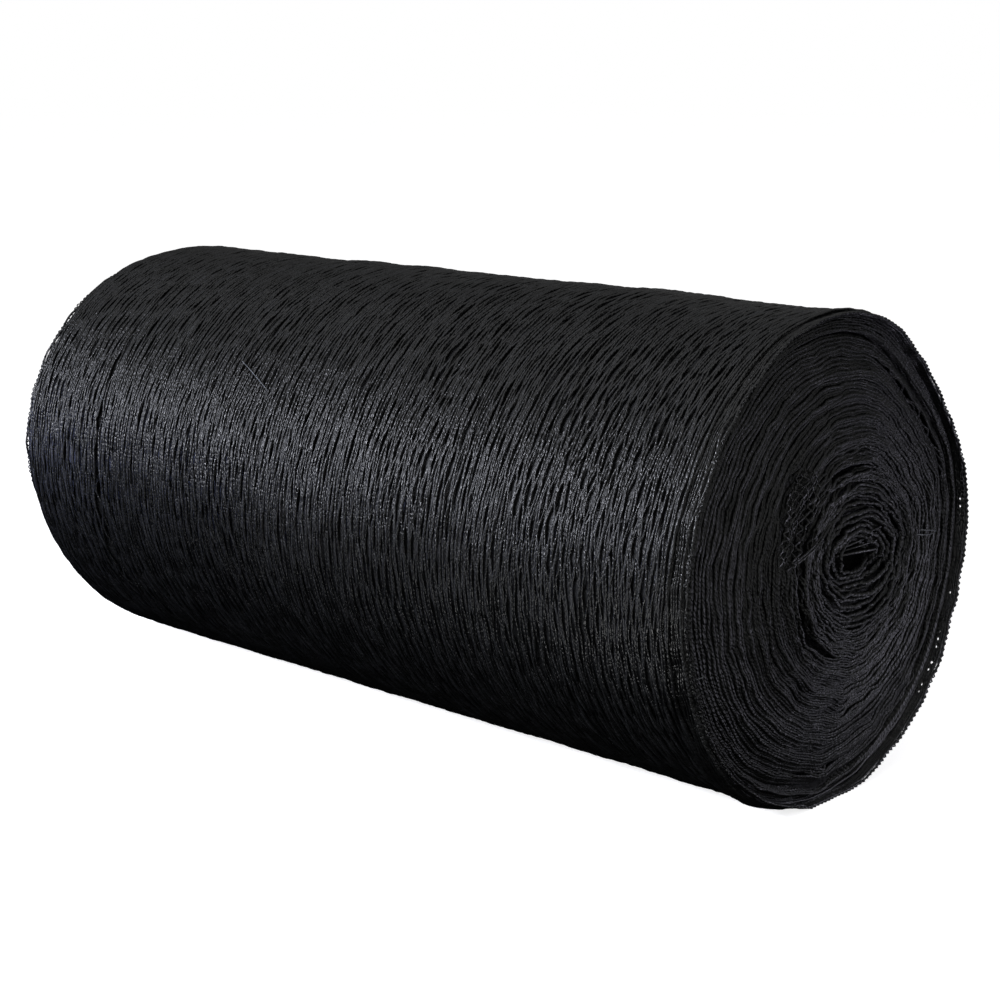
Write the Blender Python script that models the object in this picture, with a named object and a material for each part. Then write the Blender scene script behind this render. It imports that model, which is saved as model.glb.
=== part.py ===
# A roll of black knitted bird netting, wound tight on itself with no core, lying on its side.
# Metres, +Z up. The roll lies along X, its nearer end at +X, centred over the origin, resting on z = 0.

import math
from collections import namedtuple

import bmesh
import bpy
from mathutils import Vector, noise

# Driving sizes of the whole roll
ROLL_RADIUS = 0.125
ROLL_LENGTH = 0.528
FLAT_SQUASH = 0.00107  # how far its own weight presses the underside flat

# The nearer end is pushed in a little on its farther upper side
DENT_AT, DENT_HALF_WIDTH = math.radians(45), math.radians(32)
DENT_DEPTH, DENT_REACH = 0.0060, 0.06

# Uneven winding along the barrel: long swells, and short bands between neighbouring turns.
# Its own weight evens out the underside.
SWELL_HEIGHT, SWELL_LENGTH, SWELLS_ROUND = 0.0016, 0.13, 1.3
BAND_HEIGHT, BAND_LENGTH, BANDS_ROUND = 0.0013, 0.026, 1.8
BAND_START = Vector((0, 5, 5))
EVENED_SHARE, EVENED_UP_TO = 0.75, 0.07

# A slack place in the winding, seen as a dark groove round the front near the farther end
GROOVE_FROM_END = 0.076
GROOVE_HALF_WIDTH = 0.0035
GROOVE_DEPTH = 0.0028
GROOVE_FROM, GROOVE_TO = math.radians(120), math.radians(225)

# Each end: the last layers stand out as a lip round a sunken face
LipRow = namedtuple("LipRow", "back_from_end in_from_barrel")
LIP_PROFILE = (
    LipRow(0.0140, 0.0002),
    LipRow(0.0065, 0.0010),
    LipRow(0.0018, 0.0025),
    LipRow(0.0000, 0.0042),
    LipRow(0.0022, 0.0058),
)
FACE_SINK = 0.0075
FACE_INSET = 0.0068
FACE_SWELL = 0.0030  # the middle layers bulge back out between the eye and the lip
EYE_DEPTH, EYE_RADIUS, EYE_OFFSET = 0.018, 0.009, 0.0018

# With no core to hold them up, the innermost turns have sunk to flat ovals
SLUMP, SLUMP_REACH = 1.3, 0.22  # how much wider than high at the eye, and the share out by which it fades

# The layer edges on an end run as one spiral ridge from the eye to the lip
SPIRAL_TURNS = 9
SPIRAL_START = 0.10  # share of the way out from the eye
SPIRAL_RELIEF = 0.0026
RELIEF_FADES_IN, RELIEF_FADES_OUT = 0.20, 0.12
TURN_WOBBLE, WOBBLES_ROUND = 0.012, 1.7

# Mesh fineness
SEGMENTS = 48
LOWEST_STEP = 3 * SEGMENTS // 4
BARREL_ROWS = 44

# Slack gaps on the end faces: a turn has come away from the next one over part of its way round.
# Troughs: the face has sunk deeper along the inside of the lip. Shoulders: the lip is drawn in.
SlackGap = namedtuple("SlackGap", "turn start_deg end_deg depth")
RimArc = namedtuple("RimArc", "start_deg end_deg amount")
NEAR_END = {
    "side": 1,
    "eye": (0.0280, -0.0040),
    "gaps": (
        SlackGap(3, 142, 252, 0.0150),
        SlackGap(3, 66, 132, 0.0080),
        SlackGap(6, 4, 58, 0.0055),
        SlackGap(5, 232, 300, 0.0040),
    ),
    "troughs": (RimArc(-40, 85, 0.0085), RimArc(228, 285, 0.0050)),
    "shoulders": (RimArc(118, 268, 0.0080),),
}
FAR_END = {
    "side": -1,
    "eye": (0.0120, -0.0060),
    "gaps": (
        SlackGap(4, 20, 115, 0.0100),
        SlackGap(6, 180, 255, 0.0050),
    ),
    "troughs": (RimArc(100, 190, 0.0050),),
    "shoulders": (),
}
TROUGH_FROM, TROUGH_FULL = 0.88, 0.97  # share of the way out where a trough starts and is full

NET_BLACK = (0.0130, 0.0137, 0.0144, 1.0)
NET_ROUGHNESS = 0.48


def smooth_step(value):
    value = min(max(value, 0.0), 1.0)
    return value * value * (3 - 2 * value)


def soft_window(angle, start, end):
    """1 in the middle of an arc, falling to 0 at both its ends."""
    share = (angle - start) / (end - start)
    return math.sin(math.pi * share) ** 0.6 if 0 < share < 1 else 0.0


def arc_amount(arcs, step):
    """The sum of the rim arcs' amounts at a step round the roll."""
    degrees = 360 * (step % SEGMENTS) / SEGMENTS
    return sum(
        arc.amount * soft_window(degrees - turn, arc.start_deg, arc.end_deg)
        for arc in arcs
        for turn in (0, 360)
    )


def winding_unevenness(x, angle):
    around = Vector((0, math.cos(angle), math.sin(angle)))
    swell = noise.noise(around * SWELLS_ROUND + Vector((x / SWELL_LENGTH, 0, 0)))
    band = noise.noise(around * BANDS_ROUND + Vector((x / BAND_LENGTH, 0, 0)) + BAND_START)
    height = ROLL_RADIUS * (1 + math.sin(angle))
    kept = 1 - EVENED_SHARE * (1 - smooth_step(height / EVENED_UP_TO))
    return kept * (SWELL_HEIGHT * swell + BAND_HEIGHT * band)


def barrel_radius(x, angle):
    """Distance of the outermost layer from the roll's axis."""
    towards_end = smooth_step(1 - (ROLL_LENGTH / 2 - x) / DENT_REACH)
    from_dent = abs((angle - DENT_AT + math.pi) % math.tau - math.pi)
    dent = DENT_DEPTH * towards_end * smooth_step(1 - from_dent / DENT_HALF_WIDTH)
    from_groove = abs(x + ROLL_LENGTH / 2 - GROOVE_FROM_END)
    groove = smooth_step(1 - from_groove / GROOVE_HALF_WIDTH)
    groove *= GROOVE_DEPTH * soft_window(angle, GROOVE_FROM, GROOVE_TO)
    return ROLL_RADIUS + winding_unevenness(x, angle) - dent - groove


def section_point(x, step, inset=0.0):
    """A point of the roll's section at x, with the underside pressed flat on z = 0."""
    angle = math.tau * step / SEGMENTS
    radius = barrel_radius(x, angle) - inset
    y = radius * math.cos(angle)
    z = ROLL_RADIUS - FLAT_SQUASH + radius * math.sin(angle)
    if inset < LIP_PROFILE[1].in_from_barrel and abs(step - LOWEST_STEP) <= 1:
        z = 0.0
    return Vector((x, y, max(z, 0.0)))


def gap_depth(end, step):
    """How far the slack gaps sink the valley between two turns, at a step of the spiral."""
    turn, degrees = step // SEGMENTS, 360 * (step % SEGMENTS) / SEGMENTS
    return sum(
        gap.depth * soft_window(degrees, gap.start_deg, gap.end_deg)
        for gap in end["gaps"]
        if gap.turn == turn
    )


def face_point(end, rim, step, share, relief, sunk=0.0):
    """A point of an end face, a share of the way from the eye out to the rim."""
    angle = math.tau * step / SEGMENTS
    eye = Vector((0, end["eye"][0], ROLL_RADIUS - FLAT_SQUASH + end["eye"][1]))
    around = Vector((4 * share, math.cos(angle), math.sin(angle)))
    fade = smooth_step(share / RELIEF_FADES_IN) * smooth_step((1 - share) / RELIEF_FADES_OUT)
    share += TURN_WOBBLE * fade * noise.noise(around * WOBBLES_ROUND)
    axis = Vector((0, 0, ROLL_RADIUS - FLAT_SQUASH))
    centre = axis + (eye - axis) * (1 - share**2)
    out = rim[step % SEGMENTS] - axis
    widened = math.sqrt(1 + SLUMP * math.exp(-((share / SLUMP_REACH) ** 2)))
    place = centre + share * Vector((0, out.y * widened, out.z / widened))
    from_eye = (place - eye).length
    sink = FACE_SINK - FACE_SWELL * math.sin(math.pi * share) ** 2
    sink += EYE_DEPTH * math.exp(-((from_eye / EYE_RADIUS) ** 2))
    trough = smooth_step((share - TROUGH_FROM) / (TROUGH_FULL - TROUGH_FROM))
    sink += trough * arc_amount(end["troughs"], step)
    sink += sunk - relief * SPIRAL_RELIEF * fade
    place.x = end["side"] * (ROLL_LENGTH / 2 - sink)
    return place


def add_strip(bm, first, second, outwards):
    """Quads between two rows of points, turned to face out."""
    for i in range(len(first) - 1):
        corners = [first[i], first[i + 1], second[i + 1], second[i]]
        bm.faces.new(corners if outwards else corners[::-1])


def add_end_face(bm, end, rim_ring):
    """The wound layers' edges: one spiral ridge, closed on the eye and on the rim ring."""
    rim = [vert.co.copy() for vert in rim_ring]
    last = SPIRAL_TURNS * SEGMENTS
    pitch = (1 - SPIRAL_START) / (SPIRAL_TURNS + 0.5)
    outwards = end["side"] > 0

    shares = [SPIRAL_START + pitch * step / SEGMENTS for step in range(last + 1)]
    valley, crest = [], []
    for step, share in enumerate(shares):
        low = face_point(end, rim, step, share, -0.5, gap_depth(end, step))
        valley.append(bm.verts.new(low))
        if step < last:
            high = face_point(end, rim, step, share + pitch / 2, 0.5)
            crest.append(bm.verts.new(high))
    crest.append(rim_ring[0])

    add_strip(bm, crest, valley, not outwards)
    add_strip(bm, valley[SEGMENTS:], crest[: last - SEGMENTS + 1], not outwards)

    # The last turn runs out against the rim ring
    outer = crest[last - SEGMENTS :]
    for i in range(SEGMENTS):
        corners = [outer[i], outer[i + 1], rim_ring[(i + 1) % SEGMENTS], rim_ring[i]]
        if i == 0:
            corners.append(valley[last])
        if i == SEGMENTS - 1:
            corners = [outer[i], rim_ring[0], rim_ring[i]]
        bm.faces.new(corners[::-1] if outwards else corners)

    # The eye's hollow, its deepest point a little below the line on which the spiral starts
    bottom = bm.verts.new(face_point(end, rim, 0, 0.0, 0.0))
    bottom.co.z -= EYE_OFFSET
    inner = valley[: SEGMENTS + 1] + [crest[0]]
    for i, vert in enumerate(inner):
        corners = [bottom, vert, inner[(i + 1) % len(inner)]]
        bm.faces.new(corners if outwards else corners[::-1])


def row_places():
    """Where the barrel's rows stand along X, with three close together at the groove."""
    reach = ROLL_LENGTH / 2 - LIP_PROFILE[0].back_from_end
    pitch = 2 * reach / BARREL_ROWS
    groove = GROOVE_FROM_END - ROLL_LENGTH / 2
    rows = [-reach + pitch * i for i in range(BARREL_ROWS + 1)]
    rows = [x for x in rows if abs(x - groove) > 2 * GROOVE_HALF_WIDTH]
    return sorted(rows + [groove - GROOVE_HALF_WIDTH, groove, groove + GROOVE_HALF_WIDTH])


def add_ring(bm, x, inset=0.0):
    return [bm.verts.new(section_point(x, step, inset)) for step in range(SEGMENTS)]


def add_lip_ring(bm, end, row, trough_share=0.0):
    """A ring of an end's lip, drawn in along its shoulders and sunk along its troughs."""
    ring = []
    for step in range(SEGMENTS):
        drawn_in = arc_amount(end["shoulders"], step) * row.in_from_barrel / FACE_INSET
        sunk = row.back_from_end + trough_share * arc_amount(end["troughs"], step)
        place = section_point(end["side"] * (ROLL_LENGTH / 2 - sunk), step, row.in_from_barrel + drawn_in)
        ring.append(bm.verts.new(place))
    return ring


def wound_roll_mesh():
    bm = bmesh.new()
    face_rim = LipRow(FACE_SINK, FACE_INSET)
    far_rings, near_rings = (
        [add_lip_ring(bm, end, row) for row in LIP_PROFILE[1:]] + [add_lip_ring(bm, end, face_rim, 1.0)]
        for end in (FAR_END, NEAR_END)
    )
    barrel = [add_ring(bm, x, LIP_PROFILE[0].in_from_barrel) for x in row_places()]
    rings = far_rings[::-1] + barrel + near_rings
    for left, right in zip(rings, rings[1:]):
        add_strip(bm, left + left[:1], right + right[:1], False)
    add_end_face(bm, FAR_END, rings[0])
    add_end_face(bm, NEAR_END, rings[-1])
    bmesh.ops.recalc_face_normals(bm, faces=bm.faces)

    # Its box is centred over the origin
    reach = [vert.co.y for vert in bm.verts]
    bmesh.ops.translate(bm, verts=bm.verts, vec=(0, -(min(reach) + max(reach)) / 2, 0))
    mesh = bpy.data.meshes.new("netting_roll")
    bm.to_mesh(mesh)
    bm.free()
    return mesh


def netting_material():
    material = bpy.data.materials.new("black_netting")
    material.use_nodes = True
    shader = material.node_tree.nodes["Principled BSDF"]
    shader.inputs["Base Color"].default_value = NET_BLACK
    shader.inputs["Roughness"].default_value = NET_ROUGHNESS
    shader.inputs["Metallic"].default_value = 0.0
    return material


for leftover in list(bpy.data.objects):
    bpy.data.objects.remove(leftover)

roll = bpy.data.objects.new("netting_roll", wound_roll_mesh())
roll.data.materials.append(netting_material())
roll.data.shade_smooth()
bpy.context.scene.collection.objects.link(roll)
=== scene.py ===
import math

import bmesh
import bpy
import numpy as np
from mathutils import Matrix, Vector, noise
from mathutils.bvhtree import BVHTree


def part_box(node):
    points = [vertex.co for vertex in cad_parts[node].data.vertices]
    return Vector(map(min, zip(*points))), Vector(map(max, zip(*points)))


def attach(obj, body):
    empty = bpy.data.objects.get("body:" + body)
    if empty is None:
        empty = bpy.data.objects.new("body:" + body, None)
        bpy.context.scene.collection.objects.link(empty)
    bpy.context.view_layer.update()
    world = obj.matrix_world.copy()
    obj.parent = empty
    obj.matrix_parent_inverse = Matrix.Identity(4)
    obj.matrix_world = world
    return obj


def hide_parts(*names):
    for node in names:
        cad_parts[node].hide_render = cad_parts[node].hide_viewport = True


# A roll of black knitted bird netting, wound tight on itself, in metres.
# Its strands are laid one by one on the wound form that the frame's solid gives.
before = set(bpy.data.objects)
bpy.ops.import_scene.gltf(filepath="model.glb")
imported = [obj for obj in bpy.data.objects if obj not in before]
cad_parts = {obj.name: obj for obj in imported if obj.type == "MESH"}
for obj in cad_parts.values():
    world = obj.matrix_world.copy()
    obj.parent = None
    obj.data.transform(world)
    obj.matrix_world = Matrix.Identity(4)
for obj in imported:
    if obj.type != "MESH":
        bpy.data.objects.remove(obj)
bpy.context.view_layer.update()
scene = bpy.context.scene
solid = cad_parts["netting_roll"]
lowCorner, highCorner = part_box("netting_roll")
halfLength = (highCorner.x - lowCorner.x) / 2
rollRadius = (highCorner.z - lowCorner.z) / 2
axisHeight = lowCorner.z + rollRadius
mm = 0.001
print("frame loaded, roll radius", round(rollRadius, 4), "half length", round(halfLength, 4))


def toLinear(hexColour):
    parts = [int(hexColour[i:i + 2], 16) / 255 for i in (1, 3, 5)]
    return [c / 12.92 if c <= 0.04045 else ((c + 0.055) / 1.055) ** 2.4 for c in parts] + [1.0]


# The camera stands where the photo was taken from, low and off the nearer end
view = {
    "azimuth": 43.933, "elevation": 12.572,   # degrees
    # in the roll's radii, the aim from the foot of its middle
    "distance": 9.065, "aimAlong": 0.255, "aimUp": 0.982,
    "nominalRadius": 0.125,
    "lens": 70.325, "sensor": 36.0,
}


def placeCamera():
    unit = view["nominalRadius"]
    azimuth, elevation = math.radians(view["azimuth"]), math.radians(view["elevation"])
    back = Vector((math.sin(azimuth) * math.cos(elevation), -math.cos(azimuth) * math.cos(elevation),
                   math.sin(elevation)))
    aim = Vector((view["aimAlong"] * unit, 0, view["aimUp"] * unit))
    data = bpy.data.cameras.new("camera")
    data.lens, data.sensor_width, data.clip_start = view["lens"], view["sensor"], 0.01
    camera = bpy.data.objects.new("camera", data)
    camera.location = aim + back * view["distance"] * unit
    camera.rotation_euler = (-back).to_track_quat("-Z", "Y").to_euler()
    scene.collection.objects.link(camera)
    scene.camera = camera


placeCamera()
print("camera placed")

# Reading the wound form: rays cast in at the barrel, on rows along it and steps round it
reading = {
    "stepsRound": 48,
    "rowPitch": 8 * mm,
    "rowsAtEnd": (0.8 * mm, 1.8 * mm, 4 * mm, 6.5 * mm, 10 * mm, 14 * mm),   # back from each end
    "castFrom": 0.25,
}


def mergedSolid():
    bm = bmesh.new()
    bm.from_mesh(solid.data)
    bmesh.ops.remove_doubles(bm, verts=bm.verts, dist=0.01 * mm)
    return bm


def readBarrel(tree):
    atEnd = [halfLength - back for back in reading["rowsAtEnd"]]
    inner = atEnd[-1] - reading["rowPitch"]
    between = list(np.arange(-inner, inner, reading["rowPitch"]))
    rows = np.array(sorted([-x for x in atEnd] + between + atEnd))
    steps = reading["stepsRound"]
    radii = np.zeros((len(rows), steps))
    for i, x in enumerate(rows):
        axis = Vector((x, 0, axisHeight))
        for j in range(steps):
            out = Vector((0, math.cos(math.tau * j / steps), math.sin(math.tau * j / steps)))
            hit = tree.ray_cast(axis + out * reading["castFrom"], -out)[0]
            radii[i, j] = (hit - axis).length
    return rows, radii


mergedForm = mergedSolid()
solidTree = BVHTree.FromBMesh(mergedForm)
mergedForm.free()
barrelRows, barrelRadii = readBarrel(solidTree)


def barrelRadius(x, angle):
    # straight between rows, a smooth curve through the steps round the roll
    x = np.clip(x, barrelRows[0], barrelRows[-1])
    row = np.clip(np.searchsorted(barrelRows, x) - 1, 0, len(barrelRows) - 2)
    share = (x - barrelRows[row]) / (barrelRows[row + 1] - barrelRows[row])
    steps = reading["stepsRound"]
    place = (np.asarray(angle) / math.tau * steps) % steps
    step = np.floor(place).astype(int)
    f = place - step

    def alongRow(row):
        a, b, c, d = (barrelRadii[row, (step + k) % steps] for k in (-1, 0, 1, 2))
        return b + 0.5 * f * (c - a + f * (2 * a - 5 * b + 4 * c - d + f * (3 * (b - c) + d - a)))

    return (1 - share) * alongRow(row) + share * alongRow(row + 1)


def endStands(side, y, z):
    # how far out along the roll an end face stands, at places given from the roll's axis
    start, inwards = side * 2 * halfLength, Vector((-side, 0, 0))
    starts = (Vector((start, a, axisHeight + b)) for a, b in zip(y.tolist(), z.tolist()))
    hits = [solidTree.ray_cast(place, inwards)[0] for place in starts]
    return np.array([abs(hit.x) if hit else halfLength for hit in hits])


def patchDrop(patch, y, z):
    # how far an end face has sunk within its slack patch
    off = np.hypot((y - patch["y"]) / patch["halfY"], (z - patch["z"]) / patch["halfZ"])
    return patch["depth"] * smoothStep((patch["reach"] - off) / patch["fade"])


def noiseAt(points, size, seed):
    # smooth noise, one value a point, for an array of points in metres
    return np.fromiter(map(noise.noise, (np.asarray(points) / size + seed).tolist()), float)


def smoothStep(value):
    value = np.clip(value, 0, 1)
    return value * value * (3 - 2 * value)


def arcWindow(degrees, start, stop, power=0.7):
    # 1 in the middle of an arc, falling to 0 at both its ends
    share = ((np.asarray(degrees) - start) % 360) / (stop - start)
    return np.where(share < 1, np.sin(math.pi * np.clip(share, 0, 1)) ** power, 0)


# The outermost turns lie loose on the wound form: proud of it on top, and under the farther end
looseness = {
    "onTop": 2.0 * mm, "underPerMetre": -9.5 * mm,
    "underFrom": 0.30, "underFull": 0.88,   # of the radius below the axis
}


def standOff(x, angle):
    start, full = looseness["underFrom"], looseness["underFull"]
    lower = smoothStep((-np.sin(angle) - start) / (full - start))
    return (1 - lower) * looseness["onTop"] + lower * (looseness["underPerMetre"] * x)


def roundAxis(x, radius, angle):
    return np.stack([x, radius * np.cos(angle), axisHeight + radius * np.sin(angle)], axis=1)


def onBarrel(x, angle, lift):
    return roundAxis(x, barrelRadius(x, angle) + standOff(x, angle) + lift, angle)


print("wound form read,", len(barrelRows), "rows")


def strandPiece(name, paths, radii, closed, material):
    curve = bpy.data.curves.new(name, "CURVE")
    curve.dimensions = "3D"
    curve.resolution_u = 1
    curve.bevel_depth = mm
    curve.bevel_resolution = 0
    curve.use_fill_caps = not closed
    for path, radius in zip(paths, radii):
        path[:, 2] = np.maximum(path[:, 2], np.max(radius))   # nothing sinks into the floor
        spline = curve.splines.new("POLY")
        spline.points.add(len(path) - 1)
        spline.points.foreach_set("co", np.c_[path, np.ones(len(path))].ravel())
        spline.points.foreach_set("radius", np.broadcast_to(radius, len(path)) / mm)
        spline.use_cyclic_u = closed
    holder = bpy.data.objects.new(name, curve)
    scene.collection.objects.link(holder)
    mesh = bpy.data.meshes.new_from_object(holder.evaluated_get(bpy.context.evaluated_depsgraph_get()))
    bpy.data.objects.remove(holder)
    # the strand's own map: metres along it, turns round it
    longest = max(paths, key=len)
    along = np.append(0, np.cumsum(np.linalg.norm(np.diff(longest, axis=0), axis=1)))
    layer = mesh.uv_layers[0]
    uv = np.zeros(2 * len(mesh.loops))
    layer.data.foreach_get("uv", uv)
    uv[0::2] = np.interp(uv[0::2], np.linspace(0, 1, len(along)), along)
    layer.data.foreach_set("uv", uv)
    mesh.materials.clear()
    mesh.materials.append(material)
    mesh.shade_smooth()
    piece = bpy.data.objects.new(name, mesh)
    scene.collection.objects.link(piece)
    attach(piece, "root")
    print(name, len(paths), "strands,", 2 * len(mesh.polygons), "triangles")
    return piece


def addNode(tree, kind, settings=(), links=()):
    # one node, its settings by property or input name, and its links as (input, output socket)
    node = tree.nodes.new("ShaderNode" + kind)
    for key, value in dict(settings).items():
        if hasattr(node, str(key)):
            setattr(node, key, value)
        else:
            node.inputs[key].default_value = value
    for key, socket in dict(links).items():
        tree.links.new(socket, node.inputs[key])
    return node


noiseRange = {"From Min": 0.3, "From Max": 0.7}   # what a noise texture mostly gives


def twineMaterial(name, look):
    material = bpy.data.materials.new(name)
    material.use_nodes = True
    tree = material.node_tree
    shader = tree.nodes["Principled BSDF"]
    shader.inputs["IOR"].default_value = look["ior"]
    place = addNode(tree, "TexCoord")
    # the twist is a ridge that winds round the strand, on the strand's own map
    own = addNode(tree, "SeparateXYZ", links={0: place.outputs["UV"]})
    turns = addNode(tree, "Math", {"operation": "MULTIPLY", 1: 1 / look["twistPitch"]}, {0: own.outputs[0]})
    phase = addNode(tree, "Math", {"operation": "MULTIPLY_ADD", 1: look["plies"]},
                    {0: own.outputs[1], 2: turns.outputs[0]})
    wobble = addNode(tree, "TexNoise", {"Scale": 1 / look["unevenSize"], "Detail": 2.0},
                     {"Vector": place.outputs["Object"]})
    uneven = addNode(tree, "Math", {"operation": "MULTIPLY_ADD", 1: look["unevenTurns"]},
                     {0: wobble.outputs["Fac"], 2: phase.outputs[0]})
    angle = addNode(tree, "Math", {"operation": "MULTIPLY", 1: math.tau}, {0: uneven.outputs[0]})
    ridge = addNode(tree, "Math", {"operation": "SINE"}, {0: angle.outputs[0]})
    # streaks of colour along the winding, with painted shade between the plies, in the twist's hollows, and
    # a stitch grain that is partly random tone and partly painted shade in the fuzz's low places
    across, along = 1 / look["streakAcross"], 1 / look["streakAlong"]
    stretched = addNode(tree, "Mapping", {"Scale": (across, along, along)},
                        {"Vector": place.outputs["Object"]})
    streaks = addNode(tree, "TexNoise", {"Scale": 1.0, "Detail": 3.0}, {"Vector": stretched.outputs[0]})
    tone = addNode(tree, "MapRange", noiseRange, {"Value": streaks.outputs["Fac"]})
    base = addNode(tree, "Mix",
                   {"data_type": "RGBA", 6: toLinear(look["dark"]), 7: toLinear(look["light"])},
                   {0: tone.outputs[0]})
    # painted shade: the base colour darkens in the hollows of the twist's ridge
    paintedHollowShade = addNode(tree, "MapRange",
                     {"From Min": -1.0, "From Max": 0.6, "To Min": look["hollowShadeTone"], "To Max": 1.0},
                     {"Value": ridge.outputs[0]})
    # the stitch grain: random tone, and painted shade with it, since the same noise raises the fuzz's
    # relief below, so its low places are painted darker and its high places lighter
    grain = addNode(tree, "TexNoise", {"Scale": 1 / look["stitch"], "Detail": 2.0},
                    {"Vector": place.outputs["Object"]})
    stitches = addNode(tree, "MapRange",
                       {**noiseRange, "To Min": 1 - look["stitchToneAndShade"], "To Max": 1 + look["stitchToneAndShade"]},
                       {"Value": grain.outputs["Fac"]})
    tones = addNode(tree, "Math", {"operation": "MULTIPLY"},
                    {0: paintedHollowShade.outputs[0], 1: stitches.outputs[0]})
    shaded = addNode(tree, "VectorMath", {"operation": "SCALE"},
                     {0: base.outputs[2], "Scale": tones.outputs[0]})
    rough = addNode(tree, "MapRange",
                    {**noiseRange, "To Min": look["rough"][0], "To Max": look["rough"][1]},
                    {"Value": wobble.outputs["Fac"]})
    # the relief is the twist's ridges with the fuzz of the stitches over them
    height = addNode(tree, "Math", {"operation": "MULTIPLY_ADD", 1: look["fuzz"]},
                     {0: grain.outputs["Fac"], 2: ridge.outputs[0]})
    bump = addNode(tree, "Bump", {"Strength": look["bump"], "Distance": look["bumpDepth"]},
                   {"Height": height.outputs[0]})
    tree.links.new(shaded.outputs[0], shader.inputs["Base Color"])
    tree.links.new(rough.outputs[0], shader.inputs["Roughness"])
    tree.links.new(bump.outputs[0], shader.inputs["Normal"])
    return material


# Twine knitted from slit high-density polyethylene tape, black with carbon: a hard satin gloss on each
# stitch, and painted shade that darkens the colour in the hollows between them. A real stitch of it is
# under 1 mm, too fine to show, so the stitches and the twist are drawn coarser
twineLook = {
    "dark": "#0c0c0d", "light": "#181919", "hollowShadeTone": 0.5,
    "ior": 1.54, "rough": (0.26, 0.42),
    "twistPitch": 2.8 * mm, "plies": 2, "bump": 0.34, "bumpDepth": 0.26 * mm,
    "stitch": 1.3 * mm, "stitchToneAndShade": 0.4, "fuzz": 1.0,
    "unevenSize": 4 * mm, "unevenTurns": 2.2,
    "streakAcross": 4 * mm, "streakAlong": 30 * mm,
}
twine = twineMaterial("knitted_black_polyethylene", twineLook)
# The under layer's twine is a copy painted lighter than the top layer's: painted light, standing for the
# light that comes back between the strands
innerLookPaintedLighter = dict(twineLook, dark="#161617", light="#222325", hollowShadeTone=0.65, rough=(0.34, 0.55))
innerTwinePaintedLighter = twineMaterial("knitted_black_polyethylene_inner_painted_lighter", innerLookPaintedLighter)
# The knitted edges at the ends are fuzzier: the tape's cut edges stand up out of the loops and dull them
selvedgeLook = dict(twineLook, dark="#101111", light="#1e1f1f", rough=(0.42, 0.62),
                    bump=0.7, stitchToneAndShade=0.7, fuzz=2.6)
selvedgeTwine = twineMaterial("knitted_black_polyethylene_edge", selvedgeLook)
# The same twine deep between the turns, painted darker: painted shade for where hardly any light comes back
# out
deepLookPaintedShade = dict(twineLook, dark="#070708", light="#111214", rough=(0.6, 0.8), ior=1.35,
                bump=0.7, fuzz=2.5, streakAcross=1.6 * mm, streakAlong=12 * mm)
deepTwinePaintedShade = twineMaterial("knitted_black_polyethylene_deep_painted_shade", deepLookPaintedShade)
# Single filaments that have worked loose: thinner, so a little light comes through them
fibreLook = dict(twineLook, dark="#5a5e62", light="#8a8e90", hollowShadeTone=0.9, rough=(0.25, 0.35),
                 bump=0.2, stitchToneAndShade=0.1)
looseFibre = twineMaterial("drawn_polyethylene_filament", fibreLook)

# The two ends. Gaps are slack places where the turns have parted. On a shoulder the outermost turn is
# drawn in over the end, and elsewhere it stands proud as a cuff whose meshes are open along some arcs.
# Angles are in degrees about the roll's axis, 0 to the back and 90 up
nearEnd = {
    "side": 1, "label": "near", "eye": (31 * mm, -2 * mm), "seed": 2.3,
    "gaps": (
        # from and to, in mm from the roll's axis and turning with the angle, and how far the turns part
        ((-24, 8), (10, -55), 2.5 * mm),
        ((36, 44), (-3, 49), 1.5 * mm),
        ((94, 6), (73, 43), 1.0 * mm),
        ((8, -33), (46, -36), 0.7 * mm),
    ),
    "lacePatch": {
        "y": -29 * mm, "z": 26 * mm, "halfY": 12 * mm, "halfZ": 23 * mm, "depth": 5.0 * mm,
        "reach": 1.25, "fade": 0.5,   # of its half sizes
    },
    "shoulder": (112, 274),
    "rim": (
        # angle, how far the cuff stands above the form
        (-90, 0.2), (-60, 0.2), (-46, 1.3), (-24, -0.8), (-12, 0.0), (0, -1.6), (18, -3.2), (30, -2.8),
        (42, -0.8), (54, 0.6), (72, 1.8), (90, 2.0), (120, 0.8), (180, 0.6), (250, 0.2),
    ),
    "openMeshes": ((-46, -24, 0.8), (-22, -15, 0.8), (2, 9, 0.7)),
    "trough": (228, 294, 5.5 * mm),   # where the last turns have dropped behind the cuff
}
farEnd = {
    "side": -1, "label": "far", "eye": (12 * mm, -6 * mm), "seed": 6.9,
    "gaps": (
        ((64, 16), (-18, 52), 2.6 * mm),
        ((-76, -3), (-16, -85), 1.6 * mm),
    ),
    "lacePatch": None,
    "shoulder": (184, 242),
    "rim": (
        (90, -1.5), (112, -1.5), (124, -0.2), (142, -0.2), (154, 1.0), (166, 2.2), (178, 1.5), (190, -0.6),
        (202, -1.3), (214, -2.6), (226, -4.2), (238, -2.6), (250, 0.3), (300, 0.5), (0, 0.5), (60, 0.0),
    ),
    "openMeshes": ((146, 156, 0.9), (164, 172, 0.9), (180, 204, 1.0)),
    "trough": (250, 300, 3 * mm),
}
lipProfile = {
    # the form's lip, back from the end: how far its outside lies in, and its inside as a share of the inset
    "back": (0, 1.8 * mm, 6.5 * mm, 14 * mm), "outside": (4.2 * mm, 2.5 * mm, 1.0 * mm, 0.2 * mm),
    "wallBack": (0, 2.2 * mm, 7.5 * mm, 20 * mm), "wallShare": (0.62, 0.85, 1.0, 1.09),
    "rimFades": (3 * mm, 14 * mm),
    # the inset of the face inside the lip, for a shoulder that drops so far between its start and its mouth
    "shoulderFrom": 14 * mm, "mouth": 0.8 * mm,
    "inset": 6.8 * mm, "insetDrop": 3.4 * mm, "insetLeast": 0.6, "insetMost": 3,
}


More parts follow.
